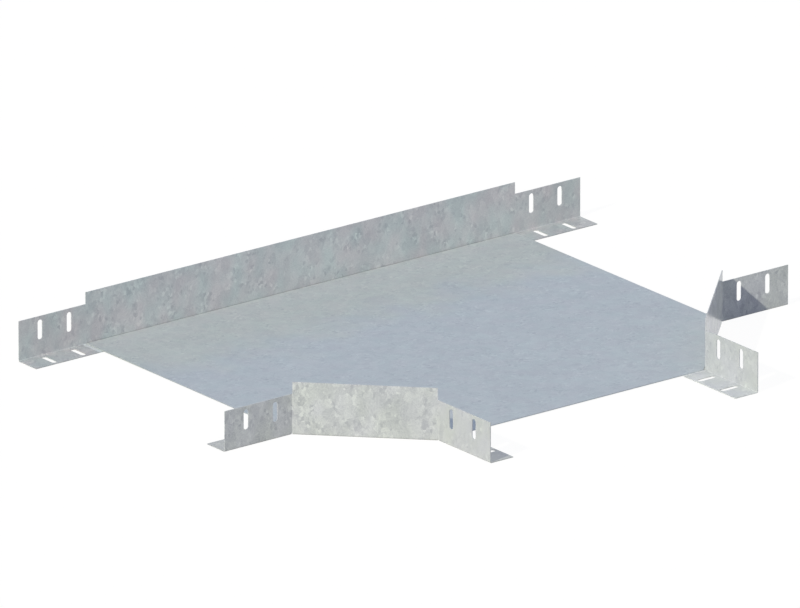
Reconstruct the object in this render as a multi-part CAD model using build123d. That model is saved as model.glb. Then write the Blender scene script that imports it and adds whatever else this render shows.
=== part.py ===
from build123d import *
from math import radians, sin, tan
import os

# A tee for sheet steel cable tray. Trays slide into its three mouths and are bolted there.
# Three folded rails stand round a flat floor plate: a straight one behind, and one at each
# inner corner. The floor lies on the flanges that the rails fold in along their feet.
# X runs along the main tray, -Y points out along the branch, and Z is up.
# The origin is at the middle of the bounding box's underside. Sizes are in millimetres.

# The trays that fit the mouths
tray_width = 400.0
tray_height = 50.0
tray_play = 0.75

# The sheet and its folds
sheet = 1.0
bend_radius = 1.0
flange_width = 34.5

# The tee in plan: how far the tabs reach past the floor, and the two like legs of a corner
tab_length = 100.0
corner_leg = 123.0

# The walls beside the floor rise above the tabs
wall_rise = 15.0

# The floor keeps this far clear of the folds at the walls' feet
floor_gap = 0.5

# Bolt slots, counted from a tab's free end
slot_width = 7.0
slot_from_end = 31.5
slot_pitch = 43.5
slots_per_tab = 2

# The upright slots in the walls
wall_slot_length = 25.0
wall_slot_drop = 17.0

# The slots across the flanges, between the wall's outer face and the flange's free edge
flange_slot_from_wall = 6.5
flange_slot_from_edge = 3.0

# Sizes that follow
run_width = tray_width + 2 * tray_play + 2 * sheet
tab_height = tray_height + sheet
wall_height = tab_height + wall_rise
back_y = (run_width + corner_leg + tab_length) / 2
front_y = back_y - run_width
branch_y = front_y - corner_leg
side_x = run_width / 2
floor_x = side_x + corner_leg
end_x = floor_x + tab_length
fold_height = bend_radius + sheet
flange_slot_length = flange_width - flange_slot_from_wall - flange_slot_from_edge
slot_stations = [slot_from_end + i * slot_pitch for i in range(slots_per_tab)]

# The wall across a corner turns half of a right angle at each of its ends
corner_turn = 90 / 2


def along(start, end):
    """The plane of a panel: X from its start to its end, Y into the tray and Z up."""
    return Plane(origin=start, x_dir=end - start, z_dir=(0, 0, 1))


def folded_panel(length, height):
    """A flat length of wall with the flange folded in along its foot."""
    outside = FilletPolyline((0, height), (0, 0), (flange_width, 0), radius=fold_height)
    section = make_face(outside.wire().offset_2d(sheet, side=Side.LEFT))
    return extrude(Plane.YZ * section, length)


def bolt_slots(stations):
    """Cutters for the slots of one tab: upright in the wall, crosswise in the flange."""
    upright = SlotOverall(wall_slot_length, slot_width, rotation=90)
    crosswise = SlotOverall(flange_slot_length, slot_width, rotation=90)
    flange_middle = flange_slot_from_wall + flange_slot_length / 2
    cutters = []
    for station in stations:
        wall_place = Pos(station, 0, tab_height - wall_slot_drop)
        flange_place = Pos(station, flange_middle, 0)
        cutters.append(wall_place * extrude(Plane.XZ * upright, sheet, both=True))
        cutters.append(flange_place * extrude(crosswise, sheet, both=True))
    return cutters


def bend_setback(turn):
    """How far short of a corner a panel stops, where the wall curves round it."""
    return bend_radius * tan(radians(turn) / 2)


def wall_bend(start, corner, turn):
    """The wall's curve round a corner that turns away from the tray, above the flanges."""
    before = (corner - start).normalized()
    entry = along(corner - before * bend_setback(turn), corner)
    section = Rectangle(sheet, tab_height - fold_height, align=(Align.MIN, Align.MIN))
    wall = Plane.YZ * Pos(bend_radius, fold_height) * section
    return entry * Pos(0, -bend_radius, 0) * revolve(wall, Axis.Z, -turn)


def rail(points, turn):
    """One folded strip: a tab, the high wall beside the floor, and another tab.

    The strip turns by the same angle, in degrees, at both ends of the high wall.
    """
    tab_end, first_corner, second_corner, far_end = [Vector(point) for point in points]
    spans = [(tab_end, first_corner), (first_corner, second_corner), (second_corner, far_end)]
    heights = [tab_height, wall_height, tab_height]
    setback = bend_setback(turn)
    stops = [(0, setback), (setback, setback), (setback, 0)]
    strip = []
    for (start, end), height, (first, last) in zip(spans, heights, stops):
        panel = folded_panel((end - start).length - first - last, height)
        strip.append(along(start, end) * Pos(first, 0, 0) * panel)
    if turn > 0:
        strip += [wall_bend(start, end, turn) for start, end in spans[:-1]]
    far_stations = [tab_length - station for station in slot_stations]
    cutters = [along(*spans[0]) * cutter for cutter in bolt_slots(slot_stations)]
    cutters += [along(*spans[-1]) * cutter for cutter in bolt_slots(far_stations)]
    return strip[0].fuse(*strip[1:]) - cutters


def back_rail():
    return rail([(end_x, back_y), (floor_x, back_y), (-floor_x, back_y), (-end_x, back_y)], 0)


def right_corner_rail():
    points = [(side_x, -back_y), (side_x, branch_y), (floor_x, front_y), (end_x, front_y)]
    return rail(points, corner_turn)


def floor_plate():
    """A hexagon that stops at the bend lines and keeps clear of the folds beside the walls."""
    inset = fold_height + floor_gap
    corner_inset = inset / sin(radians(corner_turn))
    right_side = [
        (floor_x, back_y - inset),
        (floor_x, front_y + corner_inset),
        (side_x - corner_inset, branch_y),
    ]
    left_side = [(-x, y) for x, y in reversed(right_side)]
    outline = Polyline(*right_side, *left_side, close=True)
    return Pos(0, 0, sheet) * extrude(make_face(outline), sheet)


os.makedirs("parts", exist_ok=True)
right_rail = right_corner_rail()
nodes = {
    "floor_plate": floor_plate(),
    "back_rail": back_rail(),
    "right_corner_rail": right_rail,
    "left_corner_rail": mirror(right_rail, about=Plane.YZ),
}
for name, shape in nodes.items():
    export_step(shape, f"parts/{name}.step")
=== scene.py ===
from math import cos, pi, radians, sin

import bpy
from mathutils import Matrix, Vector

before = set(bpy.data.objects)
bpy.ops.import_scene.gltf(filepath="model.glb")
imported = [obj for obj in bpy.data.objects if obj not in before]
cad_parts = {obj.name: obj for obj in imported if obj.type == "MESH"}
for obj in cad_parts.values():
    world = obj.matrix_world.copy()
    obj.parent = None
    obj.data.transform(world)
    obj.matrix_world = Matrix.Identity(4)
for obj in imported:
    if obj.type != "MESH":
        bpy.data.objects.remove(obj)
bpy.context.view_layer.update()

# A cable tray tee in zinc coated sheet: a flat floor plate and three folded rails round it.
# All four sheets keep the shape they have in the frame, and are finished here.
# Sizes are in metres, and colours are linear shares of red, green and blue.

MM = 0.001
RAILS = ("back_rail", "left_corner_rail", "right_corner_rail")

# The camera looks down on the tee from the left front, through a lens so long that
# parallel edges stay parallel. Its line of sight meets the ground at camera_aim.
camera_azimuth = radians(37.83)
camera_elevation = radians(19.47)
camera_aim = Vector((60.1, 197.3, 0.0)) * MM
camera_distance = 34.58
camera_lens = 1300.0

# The sun stands on the left, a little in front, and throws crisp shadows. Two low lamps
# light only the folded rails: a twin of the sun, whose shade only the right corner rail
# throws, and a side lamp from the right and behind that throws none.
sun_direction = Vector((-4.87, -1.0, 3.6))
sun_level = 0.435
low_sun_direction = Vector((-1.577, -1.0, 0.536))
low_sun_level = 0.39
side_lamp_direction = Vector((0.9, 0.35, 0.02))
side_lamp_level = 0.6
sun_colour = (1.03, 1.0, 0.85)
sun_spread = radians(0.6)
fill_level = 0.32
fill_colour = (0.86, 1.0, 1.39)

# The ground takes the lamps evenly, whatever their colours, and shows a share of its shadow
ground_size = 12.0
ground_drop = 0.2 * MM
ground_lit = 0.29
ground_shadow_share = 0.2
ground_white = 1.004

# The zinc is a dull pale grey between two tones. Its crystals are a little taller than wide,
# each with feathery lines that run their own way, and small bright and dark ones crowd in places.
zinc_dark = (0.475, 0.493, 0.517)
zinc_pale = (0.695, 0.715, 0.713)
crystal_size = 9 * MM
crystal_height = 1.4
crystal_share = 0.35
feather_size = 1.3 * MM
feather_length = 5.0
feather_share = 1.1
ragged_size = 0.3
ragged_reach = 0.5
speck_size = 3.2 * MM
speck_share = 4.5
crowd_size = 22 * MM
crowd_edges = (0.42, 0.62)
cloud_size = 60 * MM
cloud_share = 0.5
hue_size = 28 * MM
hue_share = 3.0
fine_detail = 3.0
broad_detail = 1.0
zinc_roughness = 0.45
roughness_share = 0.12
sheen_roughness = 0.14

# The rails shine at a glancing view. Their flanges are painted a little darker than their walls,
# as painted shade.
rail_dullness = 0.35
rail_metal = 0.1
rail_sheen = 1.15
flange_painted_shade = (0.89, 0.885, 0.885)
flange_heights = (1.0 * MM, 1.4 * MM)

# Where they come out from under the floor, at the back rail's left end and at the branch's mouth,
# the flanges carry a painted highlight in a line, standing for the lit edge of the floor
edge_highlight_tone = (1.35, 1.35, 1.35)
highlight_softness = 0.5 * MM
left_highlight_reach = (325 * MM, 330 * MM)
branch_highlight_reach = (213.2 * MM, 215.2 * MM)

# The back rail has rosy and green patches, and painted shade in a dark line at the seam where the
# floor meets its wall
seam_painted_shade = (0.80, 0.80, 0.80)
seam_heights = (1.9 * MM, 2.7 * MM)
seam_reach = (322 * MM, 325 * MM)
back_contrast = 0.98
back_casts = ((1.038, 0.987, 0.996), (0.962, 1.013, 1.004))

# The corner rails have blue and yellow ones. At the branch's mouth they are smoother, and the
# right one's flange is painted paler, as painted light thrown back from the lit wall beside it.
corner_contrast = 1.25
corner_casts = ((1.0, 0.995, 1.02), (0.995, 1.005, 0.98))
branch_reach = (-230 * MM, -205 * MM)
branch_calm = 0.55
right_flange_painted_light = (1.16, 1.15, 1.13)
right_half = (-1 * MM, 1 * MM)

# The floor is quieter and bluer. Along the back rail it carries a painted reflection of that
# rail's wall, greyer past a soft line that wanders with the clouds, and less so right at the
# rail's foot.
floor_contrast = 0.5
floor_casts = ((1.01, 0.995, 1.0), (0.99, 1.005, 1.0))
floor_tint = (1.21, 1.25, 1.232)
floor_dullness = 0.0
floor_metal = 0.04
floor_sheen = 1.06
back_wall_painted_reflection = (1.055, 1.032, 0.95)
reflection_reach = (112 * MM, 236 * MM)
reflection_wander = 160 * MM
foot_painted_reflection = (1.05, 1.017, 0.977)
foot_reflection_reach = (240 * MM, 310 * MM)

# Noise, chance and the share of a mix all run from 0 to 1, about this middle
MIDDLE = 0.5

WHITE = (1.0, 1.0, 1.0)


class Value:
    """A shader socket that sums, differences and products can be written with."""

    def __init__(self, nodes, socket):
        self.nodes = nodes
        self.socket = socket

    def _math(self, operation, first, second):
        settings = {"operation": operation}
        inputs = {"Value": first, "Value_001": second}
        return self.nodes.add("ShaderNodeMath", settings, inputs).out("Value")

    def __add__(self, other):
        return self._math("ADD", self, other)

    def __radd__(self, other):
        return self._math("ADD", other, self)

    def __sub__(self, other):
        return self._math("SUBTRACT", self, other)

    def __rsub__(self, other):
        return self._math("SUBTRACT", other, self)

    def __mul__(self, other):
        return self._math("MULTIPLY", self, other)

    def __rmul__(self, other):
        return self._math("MULTIPLY", other, self)


class Node:
    """One shader node, whose results are asked for by name."""

    def __init__(self, nodes, made):
        self.nodes = nodes
        self.made = made

    def out(self, name):
        return Value(self.nodes, self.nodes.find(self.made.outputs, name))


class Nodes:
    """The node tree of one material or of the world."""

    def __init__(self, owner):
        owner.use_nodes = True
        self.tree = owner.node_tree
        self.tree.nodes.clear()

    def find(self, sockets, name):
        return next(socket for socket in sockets if name in (socket.identifier, socket.name))

    def add(self, kind, settings, inputs):
        made = self.tree.nodes.new(kind)
        for name, setting in settings.items():
            setattr(made, name, setting)
        for name, given in inputs.items():
            socket = self.find(made.inputs, name)
            if isinstance(given, Value):
                self.tree.links.new(given.socket, socket)
            else:
                socket.default_value = given
        return Node(self, made)

    def mix(self, share, first, second, blend="MIX"):
        """A colour between two, or that share of one blended with another."""
        settings = {"data_type": "RGBA", "blend_type": blend}
        inputs = {"Factor_Float": share, "A_Color": opaque(first), "B_Color": opaque(second)}
        return self.add("ShaderNodeMix", settings, inputs).out("Result_Color")

    def laid_over(self, colour, tone):
        """A colour with a tone laid over it."""
        return self.mix(1.0, colour, tone, "MULTIPLY")

    def vectors(self, operation, first, second):
        settings = {"operation": operation}
        inputs = {"Vector": first, "Vector_001": second}
        return self.add("ShaderNodeVectorMath", settings, inputs).out("Vector")

    def place(self):
        """Where a point lies on the object."""
        return self.add("ShaderNodeTexCoord", {}, {}).out("Object")

    def along(self, place, axis):
        return self.add("ShaderNodeSeparateXYZ", {}, {"Vector": place}).out(axis)

    def noise(self, place, size, detail):
        """A cloudy pattern whose patches are about that size."""
        inputs = {"Vector": place, "Scale": 1 / size, "Detail": detail}
        return self.add("ShaderNodeTexNoise", {}, inputs)


def opaque(colour):
    return colour if isinstance(colour, Value) else (*colour, 1.0)


def steps(nodes, value, low, high):
    """A soft step from 0 to 1 between two levels of a value."""
    settings = {"interpolation_type": "SMOOTHSTEP"}
    inputs = {"Value": value, "From Min": low, "From Max": high}
    return nodes.add("ShaderNodeMapRange", settings, inputs).out("Result")


def crystals(nodes, place, size):
    """A random colour for each zinc crystal, whose edges are a little ragged."""
    warp = nodes.noise(place, size * ragged_size, fine_detail).out("Color")
    warp = nodes.vectors("SUBTRACT", warp, (MIDDLE, MIDDLE, MIDDLE))
    reach = size * ragged_reach
    warped = nodes.vectors("ADD", place, nodes.vectors("MULTIPLY", warp, (reach, reach, reach)))
    inputs = {"Vector": warped, "Scale": 1 / size}
    return nodes.add("ShaderNodeTexVoronoi", {"feature": "F1"}, inputs).out("Color")


def chance(nodes, crystal):
    """A random share, from -0.5 to 0.5, for each crystal."""
    channels = nodes.add("ShaderNodeSeparateColor", {}, {"Color": crystal})
    return channels.out("Red") - MIDDLE


def feathers(nodes, place, crystal):
    """Fine lines that run another way in each crystal."""
    turns = nodes.vectors("MULTIPLY", crystal, (pi, pi, pi))
    settings = {"rotation_type": "EULER_XYZ"}
    inputs = {"Vector": place, "Rotation": turns}
    turned = nodes.add("ShaderNodeVectorRotate", settings, inputs).out("Vector")
    stretch = {"Vector": turned, "Scale": (1.0, 1 / feather_length, 1.0)}
    drawn = nodes.add("ShaderNodeMapping", {}, stretch).out("Vector")
    return nodes.noise(drawn, feather_size, fine_detail).out("Fac") - MIDDLE


def zinc(nodes, place, contrast, casts):
    """Zinc's colour and roughness: crystals, crowds of sharp specks, clouds and two casts."""
    stretch = {"Vector": place, "Scale": (1.0, 1.0, 1 / crystal_height)}
    upright = nodes.add("ShaderNodeMapping", {}, stretch).out("Vector")
    crystal = crystals(nodes, upright, crystal_size)
    flake = chance(nodes, crystal)
    feather = feathers(nodes, place, crystal)
    speck = chance(nodes, crystals(nodes, upright, speck_size))
    crowd = steps(nodes, nodes.noise(place, crowd_size, broad_detail).out("Fac"), *crowd_edges)
    speck = speck * speck * speck * crowd
    cloud = nodes.noise(place, cloud_size, broad_detail).out("Fac") - MIDDLE
    tone = flake * crystal_share + feather * feather_share
    tone = tone + speck * speck_share + cloud * cloud_share
    grey = nodes.mix(MIDDLE + tone * contrast, zinc_dark, zinc_pale)
    hue = nodes.noise(upright, hue_size, broad_detail).out("Fac") - MIDDLE
    cast = nodes.mix(MIDDLE + hue * hue_share, *casts)
    return nodes.laid_over(grey, cast), zinc_roughness + flake * roughness_share


def toned(nodes, colour, mask, tone):
    """A colour with a tone laid over it where the mask is 1."""
    return nodes.laid_over(colour, nodes.mix(mask, WHITE, tone))


def flanges(nodes, place):
    """1 on the flanges and 0 above them."""
    return 1 - steps(nodes, nodes.along(place, "Z"), *flange_heights)


def highlight_line(nodes, place, axis, reach):
    """1 in the painted highlight line on the flanges, that far out against an axis, and 0
    elsewhere.
    """
    out = nodes.along(place, axis) * -1
    begun, ended = [steps(nodes, out, level, level + highlight_softness) for level in reach]
    return begun * (1 - ended) * flanges(nodes, place)


def seam(nodes, place):
    """1 at the foot of the back rail's wall, as far as the floor goes, and 0 elsewhere: where
    painted shade darkens the seam.

    Squares are compared, so that both ends of the floor are met at once.
    """
    across = nodes.along(place, "X")
    beyond = steps(nodes, across * across, *[reach ** 2 for reach in seam_reach])
    above = steps(nodes, nodes.along(place, "Z"), *seam_heights)
    return (1 - flanges(nodes, place)) * (1 - above) * (1 - beyond)


def coat(nodes, colour, roughness, dullness, metal, sheen):
    """Lays the zinc on as a dull surface under a thin sheen."""
    surface = nodes.add(
        "ShaderNodeBsdfPrincipled",
        {},
        {
            "Base Color": colour,
            "Metallic": metal,
            "Roughness": roughness,
            "Diffuse Roughness": dullness,
            "Specular IOR Level": 0.0,
            "Coat Weight": 1.0,
            "Coat IOR": sheen,
            "Coat Roughness": sheen_roughness,
        },
    )
    nodes.add("ShaderNodeOutputMaterial", {}, {"Surface": surface.out("BSDF")})


def back_rail_zinc():
    material = bpy.data.materials.new("back_rail_zinc")
    nodes = Nodes(material)
    place = nodes.place()
    colour, roughness = zinc(nodes, place, back_contrast, back_casts)
    # Painted shade on the flanges: they are toned a little darker than the walls.
    colour = toned(nodes, colour, flanges(nodes, place), flange_painted_shade)
    # Painted shade in the seam between the floor and the back rail's wall.
    colour = toned(nodes, colour, seam(nodes, place), seam_painted_shade)
    # Painted highlight in a line beside the floor's left end.
    colour = toned(nodes, colour, highlight_line(nodes, place, "X", left_highlight_reach), edge_highlight_tone)
    coat(nodes, colour, roughness, rail_dullness, rail_metal, rail_sheen)
    return material


def corner_rail_zinc():
    material = bpy.data.materials.new("corner_rail_zinc")
    nodes = Nodes(material)
    place = nodes.place()
    branch = 1 - steps(nodes, nodes.along(place, "Y"), *branch_reach)
    contrast = corner_contrast * (1 - branch * branch_calm)
    colour, roughness = zinc(nodes, place, contrast, corner_casts)
    right = steps(nodes, nodes.along(place, "X"), *right_half)
    # On the right branch flange the tone is painted light, thrown back from its lit wall.
    tone = nodes.mix(branch * right, flange_painted_shade, right_flange_painted_light)
    # Painted shade on the flanges, except the right branch flange, which is painted paler
    # instead.
    colour = toned(nodes, colour, flanges(nodes, place), tone)
    # Painted highlight in a line beside the floor's front edge at the branch's mouth.
    colour = toned(nodes, colour, highlight_line(nodes, place, "Y", branch_highlight_reach), edge_highlight_tone)
    coat(nodes, colour, roughness, rail_dullness, rail_metal, rail_sheen)
    return material


def floor_zinc():
    material = bpy.data.materials.new("floor_zinc")
    nodes = Nodes(material)
    place = nodes.place()
    colour, roughness = zinc(nodes, place, floor_contrast, floor_casts)
    colour = nodes.laid_over(colour, floor_tint)
    # Painted reflection of the back rail's wall: greyer near it, and milder right at its foot.
    depth = nodes.along(place, "Y")
    grey = nodes.mix(steps(nodes, depth, *foot_reflection_reach), back_wall_painted_reflection, foot_painted_reflection)
    wander = nodes.noise(place, cloud_size, broad_detail).out("Fac") - MIDDLE
    reflection_share = steps(nodes, depth + wander * reflection_wander, *reflection_reach)
    colour = toned(nodes, colour, reflection_share, grey)
    coat(nodes, colour, roughness, floor_dullness, floor_metal, floor_sheen)
    return material


def dress(node, material):
    """Gives a sheet its finish."""
    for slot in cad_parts[node].material_slots:
        slot.material = material


def seen_as_background(nodes):
    """1 for the camera, for reflections and through glass, and 0 for the light on the object."""
    rays = nodes.add("ShaderNodeLightPath", {}, {})
    camera = rays.out("Is Camera Ray")
    glossy = rays.out("Is Glossy Ray")
    through = rays.out("Is Transmission Ray")
    return 1 - (1 - camera) * (1 - glossy) * (1 - through)


def ground_colour():
    """The colour at which the open ground sends back the same share of red, green and blue."""
    slope = sun_direction.normalized().z
    pairs = zip(fill_colour, sun_colour)
    light = [fill_level * fill + sun_level * slope * sun for fill, sun in pairs]
    return [ground_lit / level for level in light]


def ground():
    """A white floor that the tee stands on, with a faint shadow."""
    bpy.ops.mesh.primitive_plane_add(size=ground_size, location=(0, 0, -ground_drop))
    plane = bpy.context.object
    plane.name = "ground"
    white = bpy.data.materials.new("ground_white")
    nodes = Nodes(white)
    lit = nodes.add("ShaderNodeBsdfDiffuse", {}, {"Color": opaque(ground_colour())})
    white_level = (ground_white - ground_shadow_share * ground_lit) / (1 - ground_shadow_share)
    glow = nodes.add("ShaderNodeEmission", {}, {"Strength": white_level})
    share = seen_as_background(nodes) * (1 - ground_shadow_share)
    inputs = {"Fac": share, "Shader": lit.out("BSDF"), "Shader_001": glow.out("Emission")}
    both = nodes.add("ShaderNodeMixShader", {}, inputs)
    nodes.add("ShaderNodeOutputMaterial", {}, {"Surface": both.out("Shader")})
    plane.data.materials.append(white)


def surroundings():
    """White to look at, and a cool even fill as light."""
    world = bpy.data.worlds.new("white_room")
    bpy.context.scene.world = world
    nodes = Nodes(world)
    fill_light = {"Color": opaque(fill_colour), "Strength": fill_level}
    white_light = {"Color": opaque(WHITE), "Strength": 1.0}
    fill = nodes.add("ShaderNodeBackground", {}, fill_light)
    white = nodes.add("ShaderNodeBackground", {}, white_light)
    inputs = {
        "Fac": seen_as_background(nodes),
        "Shader": fill.out("Background"),
        "Shader_001": white.out("Background"),
    }
    both = nodes.add("ShaderNodeMixShader", {}, inputs)
    nodes.add("ShaderNodeOutputWorld", {}, {"Surface": both.out("Shader")})


def lamp(name, direction, level):
    """A distant lamp. A level of 1 lights a white face that is turned to it as white."""
    light = bpy.data.lights.new(name, "SUN")
    light.energy = level * pi
    light.color = sun_colour
    light.angle = sun_spread
    held = bpy.data.objects.new(name, light)
    held.rotation_mode = "QUATERNION"
    held.rotation_quaternion = direction.to_track_quat("Z", "Y")
    held.location = direction
    bpy.context.scene.collection.objects.link(held)
    return held


def sheets(name, rails):
    """A collection of sheets, which a lamp lights or is shaded by."""
    held = bpy.data.collections.new(name)
    for rail in rails:
        held.objects.link(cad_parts[rail])
    return held


def lamps():
    lamp("sun", sun_direction, sun_level)
    low_sun = lamp("low_sun", low_sun_direction, low_sun_level)
    side_lamp = lamp("side_lamp", side_lamp_direction, side_lamp_level)
    rails = sheets("rails", RAILS)
    low_sun.light_linking.receiver_collection = rails
    low_sun.light_linking.blocker_collection = sheets("shades", ["right_corner_rail"])
    side_lamp.light_linking.receiver_collection = rails
    side_lamp.data.use_shadow = False


def camera():
    lens = bpy.data.cameras.new("camera")
    lens.lens = camera_lens
    lens.clip_start = camera_distance / 2
    lens.clip_end = camera_distance * 2
    held = bpy.data.objects.new("camera", lens)
    across = cos(camera_elevation)
    ahead_x = sin(camera_azimuth) * across
    ahead_y = cos(camera_azimuth) * across
    ahead = Vector((ahead_x, ahead_y, -sin(camera_elevation)))
    held.location = camera_aim - ahead * camera_distance
    held.rotation_mode = "QUATERNION"
    held.rotation_quaternion = ahead.to_track_quat("-Z", "Y")
    bpy.context.scene.collection.objects.link(held)
    bpy.context.scene.camera = held


corner_zinc = corner_rail_zinc()
dress("back_rail", back_rail_zinc())
dress("left_corner_rail", corner_zinc)
dress("right_corner_rail", corner_zinc)
dress("floor_plate", floor_zinc())
ground()
surroundings()
lamps()
camera()
bpy.context.scene.view_settings.view_transform = "Standard"
